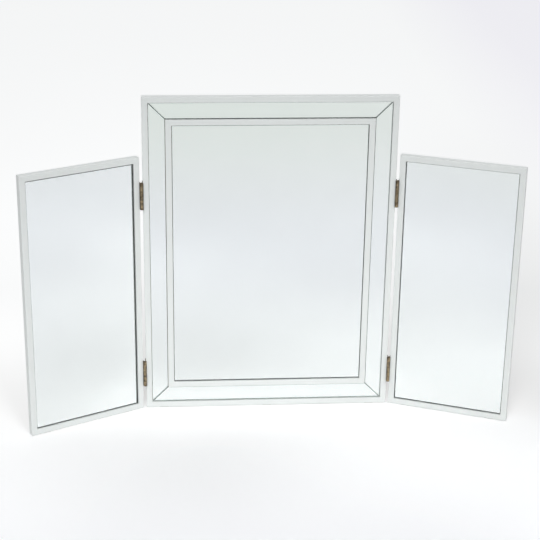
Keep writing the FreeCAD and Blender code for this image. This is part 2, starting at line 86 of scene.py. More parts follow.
class Panel:
    """One of the three framed panels, with axes of its own.

    In them x runs across from the panel's middle, y back from its front face and
    z up from its lower edge.
    """

    def __init__(self, body):
        self.body = body
        flat = lay_flat(body)
        members = [frame["nodes"][n].data for n in self.nodes("_rail", "_stile")]
        low, high = spans([flat @ v.co for member in members for v in member.vertices])
        origin = Vector(((low.x + high.x) / 2, low.y, low.z))
        self.to_panel = Matrix.Translation(-origin) @ flat
        self.to_row = self.to_panel.inverted()
        self.width, _, self.height = high - low

    def nodes(self, *endings):
        """The names of this panel's CAD nodes that end in one of these ways."""
        return [n for n in frame["nodes"] if n.startswith(self.body) and n.endswith(endings)]

    def points(self, node):
        """A CAD node's vertices, in the panel's own axes."""
        return [self.to_panel @ v.co for v in frame["nodes"][node].data.vertices]

    def islands(self, node):
        """The points of each separate solid of a CAD node, in the panel's axes.

        They come in the order of the mesh's vertices, so that each run finds the same.
        """
        mesh = bmesh.new()
        mesh.from_mesh(frame["nodes"][node].data)
        bmesh.ops.remove_doubles(mesh, verts=mesh.verts, dist=WELD)
        found = []
        seen = set()
        for first in mesh.verts:
            if first in seen:
                continue
            seen.add(first)
            island = [first]
            for vertex in island:
                for edge in vertex.link_edges:
                    other = edge.other_vert(vertex)
                    if other not in seen:
                        seen.add(other)
                        island.append(other)
            found.append([self.to_panel @ vertex.co for vertex in island])
        mesh.free()
        return found


PANELS = {body: Panel(body) for body in (CENTRE, *WINGS)}


# ---------------------------- node benches
class Wire:
    """An output socket. Python's operators on it add Math nodes to its tree."""

    def __init__(self, bench, socket):
        self.bench = bench
        self.socket = socket

    def output(self, name):
        return Wire(self.bench, self.socket.node.outputs[name])

    def maths(self, operation, *terms, clamp=False):
        settings = {"operation": operation, "use_clamp": clamp}
        return self.bench.add("ShaderNodeMath", settings, *terms)

    def __add__(self, other):
        return self.maths("ADD", self, other)

    def __sub__(self, other):
        return self.maths("SUBTRACT", self, other)

    def __rsub__(self, other):
        return self.maths("SUBTRACT", other, self)

    def __mul__(self, other):
        return self.maths("MULTIPLY", self, other)

    def __truediv__(self, other):
        return self.maths("DIVIDE", self, other)

    def __abs__(self):
        return self.maths("ABSOLUTE", self)

    def __neg__(self):
        return self.maths("MULTIPLY", self, -1.0)

    def sine(self):
        return self.maths("SINE", self)

    def exponential(self):
        return self.maths("EXPONENT", self)

    def clipped(self):
        return self.maths("ADD", self, 0.0, clamp=True)

    def above(self, start, steepness):
        """0 up to start, and from there a ramp up to 1."""
        return ((self - start) * steepness).clipped()

    def beyond(self, other):
        """1 where this is more than the other, and 0 elsewhere."""
        return self.maths("GREATER_THAN", self, other)

    def larger(self, other):
        return self.maths("MAXIMUM", self, other)

    def smaller(self, other):
        return self.maths("MINIMUM", self, other)

    __radd__ = __add__
    __rmul__ = __mul__


class Bench:
    """A node tree, the one way that nodes are put into it, and whose tree it is."""

    def __init__(self, tree, owner=None):
        self.tree = tree
        self.owner = owner

    def add(self, kind, settings=None, *values, **named):
        """Adds a node: its settings first, then its sockets, in order or by name."""
        node = self.tree.nodes.new(kind)
        for key, value in (settings or {}).items():
            setattr(node, key, value)
        shown = [socket for socket in node.inputs if socket.enabled]
        for socket, value in zip(shown, values):
            self.put(socket, value)
        for name, value in named.items():
            label = name.replace("_", " ")
            self.put(next(socket for socket in shown if socket.name == label), value)
        given = [socket for socket in node.outputs if socket.enabled]
        return Wire(self, given[0]) if given else node

    def put(self, socket, value):
        """Links a wire to a socket, or sets the socket's own value."""
        if isinstance(value, Wire):
            self.tree.links.new(value.socket, socket)
        elif value is not None:
            socket.default_value = value

    def colour_mix(self, share, first, second):
        """first where share is 0, second where it is 1."""
        settings = {"data_type": "RGBA"}
        return self.add("ShaderNodeMix", settings, share, opaque(first), opaque(second))

    def dimmed(self, share, colour, left):
        """A colour where share is 0, and what is left of it where share is 1."""
        return self.colour_mix(share, colour, shaded(colour, left))

    def noise(self, vector, scale, detail=2.0, rough=0.5):
        """Noise about 0.5. scale is its features to the metre, or those of each axis."""
        if isinstance(scale, tuple):
            how = {"operation": "MULTIPLY"}
            vector, scale = self.add("ShaderNodeVectorMath", how, vector, scale), 1.0
        return self.add(
            "ShaderNodeTexNoise", None,
            Vector=vector, Scale=scale, Detail=detail, Roughness=rough,
        )

    def place(self):
        """Object coordinates, in metres."""
        return self.add("ShaderNodeTexCoord").output("Object")

    def in_panel(self, panel):
        """Object coordinates, turned and moved to a panel's own axes."""
        move, turn, _ = panel.to_panel.decompose()
        return self.add(
            "ShaderNodeMapping", None,
            Vector=self.place(), Location=move, Rotation=turn.to_euler(),
        )

    def split(self, vector):
        cut = self.add("ShaderNodeSeparateXYZ", None, vector)
        return cut.output("X"), cut.output("Y"), cut.output("Z")

    def from_outline(self, panel, place):
        """How far a place in a panel lies from its sides and from its ends."""
        x, _, z = self.split(place)
        return panel.width / 2 - abs(x), panel.height / 2 - abs(z - panel.height / 2)

    def by_index(self, *values):
        """The first value for the first point of a geometry, the next for the next."""
        node = self.add("GeometryNodeIndexSwitch", {"data_type": "FLOAT"}).socket.node
        while len(node.index_switch_items) < len(values):
            node.index_switch_items.new()
        index = self.add("GeometryNodeInputIndex")
        for socket, value in zip(node.inputs, (index, *values)):
            self.put(socket, value)
        return Wire(self, node.outputs[0])


def opaque(colour):
    """A colour with its alpha, or the wire that stands for one."""
    return colour if isinstance(colour, Wire) else (*colour[:3], 1.0)


def shaded(colour, share):
    """What is left of a colour when only a share of its light comes back."""
    return tuple(share * part for part in colour)


def emptied(owner):
    """The bench of a material or a world, with nothing on it yet."""
    owner.use_nodes = True
    owner.node_tree.nodes.clear()
    return Bench(owner.node_tree, owner)


def new_finish(name):
    """The bench of a new material."""
    return emptied(bpy.data.materials.new(name))


def surface(bench, normal=None, **sockets):
    """Ends a finish in a Principled shader, and returns its material."""
    shader = bench.add("ShaderNodeBsdfPrincipled", None, **sockets)
    if normal is not None:
        bench.put(shader.socket.node.inputs["Normal"], normal)
    bench.add("ShaderNodeOutputMaterial", None, shader)
    return bench.owner


def relief(bench, height, depth):
    """A Bump node whose height runs from 0 to depth, in metres."""
    return bench.add("ShaderNodeBump", None, Strength=1.0, Distance=depth, Height=height)


# ---------------------------- settings
COLOUR = {"subtype": "COLOR", "size": 3, "min": 0, "max": 1}
SHARE = {"subtype": "FACTOR", "min": 0, "max": 1}
LENGTH = {"unit": "LENGTH", "precision": 5}


class FrameSettings(bpy.types.PropertyGroup):
    paint: FloatVectorProperty(
        name="Paint", description="Colour of the satin paint",
        default=(0.795, 0.828, 0.817), **COLOUR,
    )
    undercoat: FloatVectorProperty(
        name="Thin Paint", description="Colour where the paint is thinnest",
        default=(0.76, 0.78, 0.765), **COLOUR,
    )
    # Used for the mitre hairlines, for specks of dirt and for the painted contact shadow along
    # the frames' lower edge.
    joint_line: FloatVectorProperty(
        name="Joint Line", description="Colour of the hairline at each mitre",
        default=(0.45, 0.45, 0.43), **COLOUR,
    )
    hairline: FloatProperty(
        name="Hairline", description="Half the width of the line at each mitre",
        default=0.12 * MM, **LENGTH,
    )
    # Painted shade: how high the painted contact shadow along the lower edge of each frame
    # reaches.
    scuff: FloatProperty(
        name="Shadowing", description="How far up from the lower edge the paint is scuffed",
        default=1.5 * MM, **LENGTH,
    )
    roughness: FloatProperty(
        name="Roughness", description="Roughness of the dry paint",
        default=0.38, **SHARE,
    )


class GlassSettings(bpy.types.PropertyGroup):
    tint: FloatVectorProperty(
        name="Glass Tint", description="What one pass through the glass leaves of light",
        default=(0.985, 0.997, 0.993), **COLOUR,
    )
    silver: FloatVectorProperty(
        name="Silver", description="Colour of the silver coat",
        default=(0.945, 0.955, 0.955), **COLOUR,
    )
    # Partly the glass's own dark edge, partly painted shade. It is made near-black to stand in
    # for the low light in the seam around each pane. It is also the colour of the painted shadow
    # rim on the silver.
    edge: FloatVectorProperty(
        name="Cut Edge", description="Colour of the glass seen through its cut edge",
        default=(0.030, 0.042, 0.037), **COLOUR,
    )
    # Painted shade as above, lighter for the border strips' seams.
    polished_edge: FloatVectorProperty(
        name="Polished Edge", description="The same, through a border strip's polished edge",
        default=(0.16, 0.20, 0.185), **COLOUR,
    )
    ground: FloatVectorProperty(
        name="Ground Arris", description="Colour of the chamfers of the large panes",
        default=(0.13, 0.155, 0.145), **COLOUR,
    )
    # Partly the chamfer's own colour, partly painted reflection. It is made pale to stand in for
    # the bright reflections that clear polished chamfers show.
    polished: FloatVectorProperty(
        name="Polished Arris", description="Colour of the chamfers of the border strips",
        default=(0.72, 0.79, 0.76), **COLOUR,
    )
    backing: FloatVectorProperty(
        name="Backing Paint", description="Colour of the paint behind the silver",
        default=(0.20, 0.21, 0.22), **COLOUR,
    )
    arris: FloatProperty(
        name="Arris", description="Width of the ground chamfer around each face",
        default=0.4 * MM, **LENGTH,
    )
    coat: FloatProperty(
        name="Coat", description="Thickness of the silver coat with its backing paint",
        default=0.06 * MM, **LENGTH,
    )
    # Painted shadow: how far the dark rim on the left wing's silver reaches in at its hinge
    # side.
    damp: FloatProperty(
        name="Shadow", description="How far damp has dulled the left wing's hinge side",
        default=1.8 * MM, **LENGTH,
    )


class BrassSettings(bpy.types.PropertyGroup):
    metal: FloatVectorProperty(
        name="Brass", description="Colour where hands have rubbed the patina away",
        default=(0.36, 0.283, 0.175), **COLOUR,
    )
    patina: FloatVectorProperty(
        name="Patina", description="Colour of the dark antique finish",
        default=(0.066, 0.051, 0.037), **COLOUR,
    )
    roughness: FloatProperty(
        name="Roughness", description="Roughness of the lacquered brass",
        default=0.36, **SHARE,
    )
    wear: FloatProperty(
        name="Wear", description="Share of the brass that hands have rubbed bright",
        default=0.55, **SHARE,
    )


class BackSettings(bpy.types.PropertyGroup):
    board: FloatVectorProperty(
        name="Hardboard", description="Colour of the bare hardboard",
        default=(0.265, 0.160, 0.088), **COLOUR,
    )
    fibre: FloatVectorProperty(
        name="Pale Fibre", description="Colour of the lighter fibres in the board",
        default=(0.43, 0.29, 0.175), **COLOUR,
    )
    mesh_pitch: FloatProperty(
        name="Screen Pitch", description="Pitch of the wire screen pressed into the board",
        default=1.6 * MM, **LENGTH,
    )
    steel: FloatVectorProperty(
        name="Steel", description="Colour of the zinc-plated tabs, wedges and screws",
        default=(0.50, 0.51, 0.53), **COLOUR,
    )
    foam: FloatVectorProperty(
        name="Foam Tape", description="Colour of the mounting tape",
        default=(0.72, 0.72, 0.70), **COLOUR,
    )


class FastenerSettings(bpy.types.PropertyGroup):
    recess_span: FloatProperty(
        name="Recess Span", description="Half the cross's span, in radii of the head",
        subtype="FACTOR", min=0.1, max=0.7, default=0.5,
    )
    recess_width: FloatProperty(
        name="Recess Width", description="Half its bars' width, in radii of the head",
        subtype="FACTOR", min=0.05, max=0.3, default=0.15,
    )
    facets: IntProperty(
        name="Facets", description="Flats around a screw", min=8, max=64, default=28,
    )
    spin_seed: IntProperty(
        name="Spin Seed", description="Seed for how far each screw was turned", default=11,
    )
    tab_round: FloatProperty(
        name="Tab Corner", description="Rounding of a tab's corners",
        default=0.9 * MM, **LENGTH,
    )


class PadSettings(bpy.types.PropertyGroup):
    felt: FloatVectorProperty(
        name="Felt", description="Colour of the pressed felt",
        default=(0.52, 0.51, 0.48), **COLOUR,
    )
    steps: IntProperty(
        name="Round Steps", description="Points on each rounded corner of a pad",
        min=3, max=24, default=8,
    )


class StageSettings(bpy.types.PropertyGroup):
    floor: FloatVectorProperty(
        name="Floor", description="Colour of the floor around the mirror",
        default=(0.82, 0.82, 0.82), **COLOUR,
    )
    floor_reach: FloatProperty(
        name="Floor Reach", description="Radius of the floor",
        unit="LENGTH", default=14.0,
    )
    far_glow: FloatProperty(
        name="Far Glow", description="Light that the eye sees of the floor far from the lamps",
        default=0.50, **SHARE,
    )
    lamp_pool: FloatProperty(
        name="Lamp Pool", description="How much less of it is seen in the pool of the lamps",
        default=0.45, **SHARE,
    )
    side_shade: FloatProperty(
        name="Side Shade", description="How much less of it is seen beside the right wing",
        default=0.14, **SHARE,
    )
    sky: FloatProperty(
        name="Room Light", description="Strength of the even light from all around",
        min=0, default=0.42,
    )
    key: FloatProperty(
        name="Key Power", description="Power of the gridded lamp in front on the left",
        unit="POWER", min=0, default=3.1,
    )
    fill: FloatProperty(
        name="Fill Power", description="Power of the gridded lamp in front on the right",
        unit="POWER", min=0, default=2.05,
    )
    back: FloatProperty(
        name="Back Power", description="Power of the lamp over the floor behind",
        unit="POWER", min=0, default=10.0,
    )
    beam: FloatProperty(
        name="Beam", description="Angle that the grids leave of the front lamps' light",
        unit="ROTATION", default=math.radians(40.0),
    )


class CameraSettings(bpy.types.PropertyGroup):
    place: FloatVectorProperty(
        name="Place", description="Where the camera stands", subtype="XYZ", unit="LENGTH",
        size=3, default=(-0.1911, -2.4430, 1.2634),
    )
    pitch: FloatProperty(
        name="Pitch", description="How far the camera looks down", unit="ROTATION",
        default=math.radians(22.0),
    )
    roll: FloatProperty(
        name="Roll", description="How far the camera leans", unit="ROTATION",
        default=math.radians(0.903),
    )
    yaw: FloatProperty(
        name="Yaw", description="How far the camera turns to the right", unit="ROTATION",
        default=math.radians(4.535),
    )
    lens: FloatProperty(
        name="Lens", description="Focal length on a 36 mm sensor", unit="CAMERA",
        default=96.57,
    )


SETTINGS = {
    "mirror_frame": FrameSettings,
    "mirror_glass": GlassSettings,
    "mirror_brass": BrassSettings,
    "mirror_back": BackSettings,
    "mirror_fasteners": FastenerSettings,
    "mirror_pads": PadSettings,
    "mirror_stage": StageSettings,
    "mirror_camera": CameraSettings,
}


# ---------------------------- finishes
ALONG, ACROSS = 7.0, 420.0  # brush marks in a metre along the strokes and across them


def painted_timber(panel, settings, member):
    """Satin paint, brushed along the panel's rails or its stiles."""
    bench = new_finish(f"satin_paint_{panel.body}_{member}")
    place = bench.in_panel(panel)
    marks = (ALONG, ACROSS, ACROSS) if member == "rail" else (ACROSS, ACROSS, ALONG)
    strokes = bench.noise(place, marks, 3.0, 0.6)
    peel = bench.noise(place, 950.0)
    drift = bench.noise(place, 9.0, 3.0)
    specks = bench.noise(place, 700.0, 1.0)
    from_side, from_end = bench.from_outline(panel, place)
    mitre = 1.0 - (abs(from_side - from_end) / settings.hairline).clipped()
    thin = ((drift - 0.42) * 1.8 + (strokes - 0.5) * 1.8).clipped()
    _, _, height = bench.split(place)
    # Painted shade: a darker band along the lower edge stands in for the contact shadow under
    # the frame. Fine specks of dirt are mixed in with it.
    shadowed = (1.0 - height / settings.scuff).clipped() * (drift * 0.5 + strokes * 0.5)
    specks_and_shadow = shadowed.larger(specks.above(0.70, 9.0) * 0.12)
    colour = bench.colour_mix(thin * 0.8, settings.paint, settings.undercoat)
    colour = bench.colour_mix(specks_and_shadow, colour, settings.joint_line)
    colour = bench.colour_mix(mitre * 0.55, colour, settings.joint_line)
    skin = strokes * 0.55 + peel * 0.45 - mitre * 1.5
    return surface(
        bench,
        relief(bench, skin, depth=0.06 * MM),
        Base_Color=colour,
        Roughness=settings.roughness + (strokes - 0.5) * 0.16 + mitre * 0.25,
        IOR=1.5,
    )


def clear_glass(settings):
    """Clear float glass, in front of the silver."""
    bench = new_finish("clear_float_glass")
    tint = opaque(settings.tint)
    return surface(bench, Base_Color=tint, Roughness=0.0, IOR=1.52, Transmission_Weight=1.0)


# How dark the painted shadow rim of a pane's silver is, and how wide it is where it is
# narrowest.
WING_RIM = (1.0, 0.6 * MM)
CENTRE_RIM = (0.55, 0.2 * MM)
BORDER_RIM = (0.25, 0.1 * MM)
RIM_SPREAD = 1.4 * MM  # how much wider the rim is at its widest
SHADOW_ABOVE = 0.75  # painted shadow along the left wing's top, as a share of that by its hinges


def silver_coat(panel, node, settings):
    """Silver, with a painted shadow rim reaching in from a pane's edge, most so on the wings."""
    bench = new_finish(f"silver_{node}")
    place = bench.in_panel(panel)
    x, _, z = bench.split(place)
    low, high = spans(panel.points(node))
    if panel.body == "left_wing":
        high -= Vector((settings.damp, 0.0, settings.damp * SHADOW_ABOVE))
    across = (high.x - low.x) / 2 - abs(x - (high.x + low.x) / 2)
    up = (high.z - low.z) / 2 - abs(z - (high.z + low.z) / 2)
    on_centre = CENTRE_RIM if node == "centre_mirror" else BORDER_RIM
    darkness, least = on_centre if panel.body == CENTRE else WING_RIM
    # Painted shadow: near each edge the silver darkens to the cut edge's colour. This stands in
    # for the shade in the gap between glass and frame.
    width = bench.noise(place, 420.0, 3.0) * RIM_SPREAD + least
    rim = (1.0 - across.smaller(up) / width).clipped()
    haze = bench.noise(place, 16.0, 3.0).above(0.45, 3.0)
    colour = bench.dimmed(haze, settings.silver, 0.985)
    colour = bench.colour_mix(rim * darkness, colour, settings.edge)
    return surface(bench, Base_Color=colour, Metallic=1.0, Roughness=0.0)


def ground_glass(name, colour, roughness, shade_by_bead=None):
    """Cut or ground glass with the wheel's scratches, and beside the bead a painted shade of the
    last colour, when one is given.
    """
    bench = new_finish(name)
    centre = PANELS[CENTRE]
    place = bench.in_panel(centre)
    grit = bench.noise(place, 2600.0)
    waves = bench.noise(place, 90.0)
    pale = tuple(min(1.0, 1.7 * c) for c in colour)
    tone = ((grit - 0.4) * 0.9 + (waves - 0.5) * 0.9).clipped()
    colour = bench.colour_mix(tone, colour, pale)
    # Painted shade: beside the bead the chamfer and the edge take a darker colour. This stands
    # in for the shadow in the seam there.
    if shade_by_bead is not None:
        from_side, from_end = bench.from_outline(centre, place)
        bead = centre.height - max(p.z for p in centre.points("inner_bead_top"))
        beside = ((from_side.smaller(from_end) - bead) / MM + 2.0).clipped()
        colour = bench.colour_mix(beside, colour, shade_by_bead)
    return surface(
        bench,
        relief(bench, grit, depth=0.02 * MM),
        Base_Color=colour,
        Roughness=roughness + (grit - 0.5) * 0.2,
        IOR=1.52,
    )


def backing_paint(settings):
    """The grey paint that seals the silver from behind."""
    bench = new_finish("mirror_backing_paint")
    place = bench.place()
    drift = bench.noise(place, 40.0, 3.0)
    return surface(
        bench,
        relief(bench, bench.noise(place, 800.0), depth=0.02 * MM),
        Base_Color=bench.dimmed(drift, settings.backing, 0.8),
        Roughness=0.55 + drift * 0.1,
    )


LOWER_WEAR = 0.18  # how much more the lower hinges are rubbed
PIN_WEAR = 0.25  # how much more the pins are rubbed than the leaves


def antique_brass(settings, name, wear):
    """Dark lacquered brass, rubbed bright along the knuckles, soiled between them."""
    bench = new_finish(name)
    place = bench.place()
    _, y, z = bench.split(place)
    axis = frame["joints"][0]["pos_m"][1]
    (_, front, low), (_, _, high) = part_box("left_lower_hinge_fixed_leaf")
    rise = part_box("left_upper_hinge_fixed_leaf")[0][2] - low
    ahead = (y - axis) / (front - axis)
    crest = (ahead * 1.4 - 0.4).clipped()
    upper = z.beyond(low + rise / 2)
    up = (z - low - upper * rise) / (high - low)
    ends = abs((up * (KNUCKLES * math.pi)).sine())
    grime = (1.0 - ends * 5.0).clipped() * (ahead * 3.0).clipped()
    cloud = bench.noise(place, 150.0, 5.0, 0.6)
    fine = bench.noise(place, 1500.0, 3.0, 0.6)
    drawn = bench.noise(place, (2600.0, 2600.0, 60.0))
    patches = (cloud - 0.5) * 3.8 + (fine - 0.5) * 1.2 + (drawn - 0.5) * 0.5
    handled = (1.0 - upper) * LOWER_WEAR
    rubbed = (crest * 0.5 + patches + wear + handled - 0.5).clipped()
    spots = bench.noise(place, 800.0).above(0.64, 8.0)
    soiled = grime.larger(spots * 0.7)
    colour = bench.colour_mix(rubbed, settings.patina, settings.metal)
    colour = bench.colour_mix(soiled, colour, shaded(settings.patina, 0.5))
    return surface(
        bench,
        relief(bench, drawn * 0.5 + fine * 0.5, depth=0.03 * MM),
        Base_Color=colour,
        Metallic=0.92 - soiled * 0.5,
        Roughness=settings.roughness + (1.0 - rubbed) * 0.14 + (fine - 0.5) * 0.12,
    )


def hardboard(panel, settings):
    """Hardboard, rough side out, with the print of the press's wire screen."""
    bench = new_finish(f"hardboard_{panel.body}")
    place = bench.in_panel(panel)
    x, _, z = bench.split(place)
    turns = 2 * math.pi / settings.mesh_pitch
    wires = (x * turns).sine() * (z * turns).sine() * 0.5 + 0.5
    fibres = bench.noise(place, 620.0, 4.0, 0.7)
    level = bench.noise(place, (170.0, 170.0, 900.0), 3.0, 0.65)
    upright = bench.noise(place, (900.0, 900.0, 170.0), 3.0, 0.65)
    clouds = bench.noise(place, 8.0, 4.0, 0.6)
    strands = (level - 0.5).larger(upright - 0.5) * 1.8
    pale = ((fibres - 0.52) * 3.0 + strands + (clouds - 0.5) * 2.2).clipped()
    colour = bench.dimmed((1.0 - wires) * 0.7, settings.board, 0.72)
    colour = bench.colour_mix(pale * 0.75, colour, settings.fibre)
    return surface(
        bench,
        relief(bench, wires * 0.6 + fibres * 0.4, depth=0.12 * MM),
        Base_Color=colour,
        Roughness=0.74 + (fibres - 0.5) * 0.2,
    )


def zinc_plate(settings):
    """Zinc-plated steel, with a faint spangle and the marks of drawing."""
    bench = new_finish("zinc_plated_steel")
    place = bench.place()
    spangle = bench.noise(place, 340.0, 3.0, 0.6)
    drawn = bench.noise(place, (2200.0, 2200.0, 200.0))
    return surface(
        bench,
        relief(bench, drawn, depth=0.015 * MM),
        Base_Color=bench.dimmed(spangle.above(0.4, 2.2), settings.steel, 0.66),
        Metallic=0.95,
        Roughness=0.30 + spangle * 0.22,
    )


def foam(settings):
    """The open cells of the foam tape."""
    bench = new_finish("foam_mounting_tape")
    place = bench.place()
    cells = bench.add("ShaderNodeTexVoronoi", {"feature": "F1"}, Vector=place, Scale=1500.0)
    drift = bench.noise(place, 60.0)
    tone = (cells * 0.8 + drift * 0.3).clipped()
    return surface(
        bench,
        relief(bench, cells, depth=0.1 * MM),
        Base_Color=bench.dimmed(tone, settings.foam, 0.7),
        Roughness=0.9 - tone * 0.1,
    )


def pressed_felt(settings):
    """Wool felt, of hairs pressed flat and of tufts."""
    bench = new_finish("pressed_wool_felt")
    place = bench.place()
    hairs = bench.noise(place, (1500.0, 1500.0, 3750.0), 4.0, 0.75)
    tufts = bench.noise(place, 260.0, 3.0, 0.6)
    tone = ((hairs - 0.45) * 2.4 + (tufts - 0.5) * 1.2).clipped()
    return surface(
        bench,
        relief(bench, hairs * 0.7 + tufts * 0.3, depth=0.25 * MM),
        Base_Color=bench.dimmed(tone, settings.felt, 0.55),
        Roughness=0.93 + (tufts - 0.5) * 0.1,
        Sheen_Weight=0.3,
    )


def put_on(node, material):
    """Gives a carried-over CAD node its finish."""
    for place in frame["nodes"][node].material_slots:
        place.material = material


# ---------------------------- piece helpers
def link(name, data):
    """A new object of that data in the scene."""
    thing = bpy.data.objects.new(name, data)
    bpy.context.scene.collection.objects.link(thing)
    return thing


def settle(name, shape, mesh, panel, materials, node):
    """Makes a piece of a shape in a panel's axes, hangs it on the panel's body and hides the CAD
    node that it stands for.
    """
    bmesh.ops.transform(shape, matrix=panel.to_row, verts=shape.verts)
    bmesh.ops.recalc_face_normals(shape, faces=shape.faces)
    shape.to_mesh(mesh)
    shape.free()
    for material in materials:
        mesh.materials.append(material)
    piece = link(name, mesh)
    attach(piece, panel.body)
    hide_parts(node)


def around(points):
    """Flat (x, z) points in order around their middle."""
    mid_x = sum(p[0] for p in points) / len(points)
    mid_z = sum(p[1] for p in points) / len(points)
    return sorted(points, key=lambda p: math.atan2(p[1] - mid_z, p[0] - mid_x))


def taken_in(outline, distance):
    """A convex outline, counterclockwise, with every side moved inwards."""
    lines = []
    for i, (x, z) in enumerate(outline):
        to_x, to_z = outline[(i + 1) % len(outline)]
        length = math.hypot(to_x - x, to_z - z)
        along = ((to_x - x) / length, (to_z - z) / length)
        inward = (-along[1], along[0])
        lines.append((x + inward[0] * distance, z + inward[1] * distance, *along))
    corners = []
    for i, (x, z, dx, dz) in enumerate(lines):
        px, pz, pdx, pdz = lines[i - 1]
        share = ((x - px) * dz - (z - pz) * dx) / (pdx * dz - pdz * dx)
        corners.append((px + pdx * share, pz + pdz * share))
    return corners


def stacked(shape, rings, slots):
    """A closed solid from (outline, y) rings, front to back, capped at both ends.

    slots gives the material slot of the front cap, of each wall and of the back cap.
    """
    loops = [[shape.verts.new((x, y, z)) for x, z in outline] for outline, y in rings]
    shape.faces.new(loops[0]).material_index = slots[0]
    for near, far, slot in zip(loops, loops[1:], slots[1:]):
        for a in range(len(near)):
            b = (a + 1) % len(near)
            wall = shape.faces.new((near[a], near[b], far[b], far[a]))
            wall.material_index = slot
    shape.faces.new(loops[-1]).material_index = slots[-1]


GLASS, ARRIS, EDGE, SILVER, BACKING = range(5)  # a pane's material slots
COAT_GAP = 0.01 * MM  # between the glass and its coat, so that no two faces coincide


def mirror_pane(panel, node, settings, clear, arris, edge, backing):
    """A glass pane with chamfered edges, and behind it silver with its backing paint."""
    points = panel.points(node)
    low, high = spans(points)
    at_back = {(round(p.x, 6), round(p.z, 6)) for p in points if high.y - p.y < COAT_GAP}
    outline = around(at_back)
    back = high.y - settings.coat - COAT_GAP
    inner = taken_in(outline, settings.arris)
    glass = [
        (inner, low.y),
        (outline, low.y + settings.arris),
        (outline, back - settings.arris),
        (inner, back),
    ]
    coat = [(inner, back + COAT_GAP), (inner, high.y)]
    shape = bmesh.new()
    stacked(shape, glass, (GLASS, ARRIS, EDGE, ARRIS, GLASS))
    stacked(shape, coat, (SILVER, BACKING, BACKING))
    name = node + "_pane"
    finishes = (clear, arris, edge, silver_coat(panel, node, settings), backing)
    settle(name, shape, bpy.data.meshes.new(name), panel, finishes, node)


# ---------------------------- repeated pieces
def turn_of(facing, toward):
    """Euler angles that turn +Z to facing and +Y as near as can be to toward."""
    z = facing.normalized()
    x = toward.cross(z).normalized()
    y = z.cross(x)
    return Matrix((x, y, z)).transposed().to_euler()


def planted(name, places):
    """An object whose points stand at some places, each with its turn."""
    points = bpy.data.meshes.new(name)
    points.from_pydata([place for place, _ in places], [], [])
    turns = points.attributes.new("turn", "FLOAT_VECTOR", "POINT")
    for point, (_, turn) in zip(turns.data, places):
        point.vector = turn
    return link(name, points)


SOCKET_KINDS = {
    float: "NodeSocketFloat",
    int: "NodeSocketInt",
    bpy.types.Material: "NodeSocketMaterial",
}


def scatter_tree(name, inputs, build):
    """A tree that sets a shape at each point, and the identifiers of its inputs."""
    tree = bpy.data.node_groups.new(name, "GeometryNodeTree")
    bench = Bench(tree)
    new_socket = tree.interface.new_socket
    for way in ("INPUT", "OUTPUT"):
        new_socket("Geometry", in_out=way, socket_type="NodeSocketGeometry")
    identifiers = []
    for label, value in inputs.items():
        socket = new_socket(label, in_out="INPUT", socket_type=SOCKET_KINDS[type(value)])
        identifiers.append(socket.identifier)
    entry = bench.add("NodeGroupInput")
    wires = {label: entry.output(label) for label in inputs}
    shape, spin = build(bench, wires)
    turn = bench.add("GeometryNodeInputNamedAttribute", {"data_type": "FLOAT_VECTOR"}, "turn")
    turn = bench.add("FunctionNodeEulerToRotation", None, turn)
    if spin is not None:
        own = bench.add("FunctionNodeAxisAngleToRotation", None, (0.0, 0.0, 1.0), spin)
        how = {"rotation_space": "LOCAL"}
        turn = bench.add("FunctionNodeRotateRotation", how, turn, own)
    copies = bench.add(
        "GeometryNodeInstanceOnPoints", None,
        Points=entry.output("Geometry"), Instance=shape, Rotation=turn,
    )
    real = bench.add("GeometryNodeRealizeInstances", None, copies)
    done = bench.add(
        "GeometryNodeSetMaterial", None, Geometry=real, Material=wires["Material"]
    )
    bench.add("NodeGroupOutput", None, done)
    return tree, identifiers


def scatter(name, places, build, inputs, panel, node, material):
    """One piece from a Geometry Nodes tree that sets a shape at each (place, turn).

    inputs are the tree's own, by name, and build(bench, wires) returns the geometry
    that is set at each place and the extra turn of each copy, or None.
    """
    inputs = {**inputs, "Material": material}
    holder = planted(name + "_places", places)
    modifier = holder.modifiers.new(name, "NODES")
    modifier.node_group, identifiers = scatter_tree(name + "_tree", inputs, build)
    for identifier, value in zip(identifiers, inputs.values()):
        modifier[identifier] = value
    bpy.context.view_layer.update()
    graph = bpy.context.evaluated_depsgraph_get()
    mesh = bpy.data.meshes.new_from_object(holder.evaluated_get(graph))
    mesh.name = name
    holder.modifiers.remove(modifier)
    bpy.data.objects.remove(holder)
    if not mesh.polygons:
        raise RuntimeError(f"{name}: its tree made no faces")
    mesh.materials.clear()  # with the faces' slot numbers
    shape = bmesh.new()
    shape.from_mesh(mesh)
    bmesh.ops.remove_doubles(shape, verts=shape.verts, dist=WELD)
    settle(name, shape, mesh, panel, (material,), node)


def plate(bench, flat, thickness):
    """A flat mesh that faces up at z = 0, thickened downwards into a closed plate."""
    drop = bench.add("ShaderNodeCombineXYZ", None, 0.0, 0.0, -thickness)
    low = bench.add("GeometryNodeTransform", None, Geometry=flat, Translation=drop)
    top = bench.add(
        "GeometryNodeExtrudeMesh", {"mode": "FACES"},
        Mesh=low, Offset_Scale=thickness, Individual=False,
    )
    base = bench.add("GeometryNodeFlipFaces", None, low)
    joined = bench.add("GeometryNodeJoinGeometry", None, base)
    bench.put(joined.socket.node.inputs[0], top)
    return bench.add("GeometryNodeMergeByDistance", None, Geometry=joined, Distance=WELD)


TIP_SHARE = 0.06  # of the shank's radius is left at the tip
RECESS_DEPTH = 1.5  # height of the bars that cut the recess, in heights of the head


